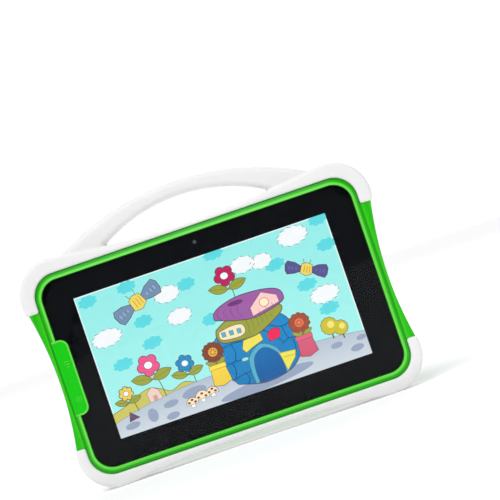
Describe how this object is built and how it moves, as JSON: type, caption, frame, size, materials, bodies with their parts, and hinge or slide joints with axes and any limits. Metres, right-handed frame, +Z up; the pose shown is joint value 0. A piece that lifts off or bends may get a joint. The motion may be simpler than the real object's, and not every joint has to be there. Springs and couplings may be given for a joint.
{
  "type": "kids toy tablet",
  "caption": "Children's tablet with a carrying handle, soft white corner bumpers, green shells with side grips, a lit screen, rear camera, speaker grille and a fold-out ring stand.",
  "frame": {"origin": "centre of the bounding box on the surface that the bottom bumper stands on", "axes": "+X to the right seen from the screen side, +Y from the screen to the rear cover, +Z up towards the carrying handle"},
  "size_m": [0.2136, 0.02, 0.1585],
  "materials": {
    "front_green": "satin moulded plastic",
    "rear_green": "satin moulded plastic with fine texture",
    "ring_green": "polished plastic",
    "key_green": "satin plastic",
    "bumper_white": "soft-touch white rubber",
    "cover_glass": "polished",
    "border_black": "screen-printed ink",
    "clear_film": "clear film",
    "foam_black": "closed-cell foam",
    "lit_screen": "lit colour screen",
    "tray_white": "moulded light guide tray",
    "plate_aluminium": "bead-blasted",
    "flex_amber": "polyimide film",
    "screw_steel": "zinc-plated",
    "battery_foil": "laminated pouch foil",
    "wire_red": "insulated wire",
    "wire_black": "insulated wire",
    "connector_white": "nylon",
    "board_green": "solder mask",
    "chip_black": "moulded package",
    "pad_grey": "silicone pad",
    "can_steel": "tinned sheet",
    "speaker_black": "paper cone in a plastic frame",
    "camera_black": "anodised black",
    "lens_glass": "coated lens",
    "led_yellow": "phosphor",
    "flash_clear": "frosted clear plastic"
  },
  "bodies": {
    "tablet": {"antenna": "flex_amber", "antenna_lead": "wire_black", "backlight_unit": "tray_white", "battery_cell": "battery_foil", "battery_connector": "connector_white", "battery_wires": "wire_red", "board_screws": "screw_steel", "bottom_bumper": "bumper_white", "card_slot": "can_steel", "cover_lens": "cover_glass", "cover_screws": "screw_steel", "display_panel": "lit_screen", "flash_diffuser": "flash_clear", "flash_led": "led_yellow", "front_camera_flex": "flex_amber", "front_camera_module": "camera_black", "front_frame": "front_green", "headphone_socket": "chip_black", "lcd_flex": "flex_amber", "lcd_gasket": "foam_black", "lens_border_mask": "border_black", "main_board": "board_green", "memory_chips": "chip_black", "microphone": "chip_black", "mid_frame": "plate_aluminium", "power_switch": "can_steel", "processor": "chip_black", "processor_shield": "can_steel", "rear_camera_flex": "flex_amber", "rear_camera_gasket": "foam_black", "rear_camera_module": "camera_black", "rear_camera_ring": "camera_black", "rear_camera_window": "lens_glass", "rear_cover": "rear_green", "ring_hinge_washers": "screw_steel", "speaker": "speaker_black", "speaker_gasket": "foam_black", "speaker_wires": "wire_black", "thermal_pad": "pad_grey", "top_bumper": "bumper_white", "touch_flex": "flex_amber", "touch_sensor": "clear_film", "usb_socket": "can_steel", "volume_rocker_pin": "screw_steel", "volume_switches": "can_steel", "wifi_module": "can_steel"},
    "ring_stand": {"ring_stand": "ring_green", "ring_hinge_pin": "screw_steel"},
    "power_button": {"power_button": "key_green"},
    "volume_rocker": {"volume_rocker": "key_green"}
  },
  "joints": [
    {"name": "ring_swing", "type": "hinge", "parent": "tablet", "child": "ring_stand", "pos_m": [0, 0.0079, 0.08345], "axis": [-1, 0, 0], "range_deg": [0, 90]},
    {"name": "power_press", "type": "slide", "parent": "tablet", "child": "power_button", "axis": [1, 0, 0], "range_m": [0, 0.0004], "stiffness_N_per_m": 800},
    {"name": "volume_rock", "type": "hinge", "parent": "tablet", "child": "volume_rocker", "pos_m": [-0.0959, 0.0039, 0.04725], "axis": [0, 1, 0], "range_deg": [-3, 3], "stiffness_Nm_per_rad": 0.05}
  ]
}
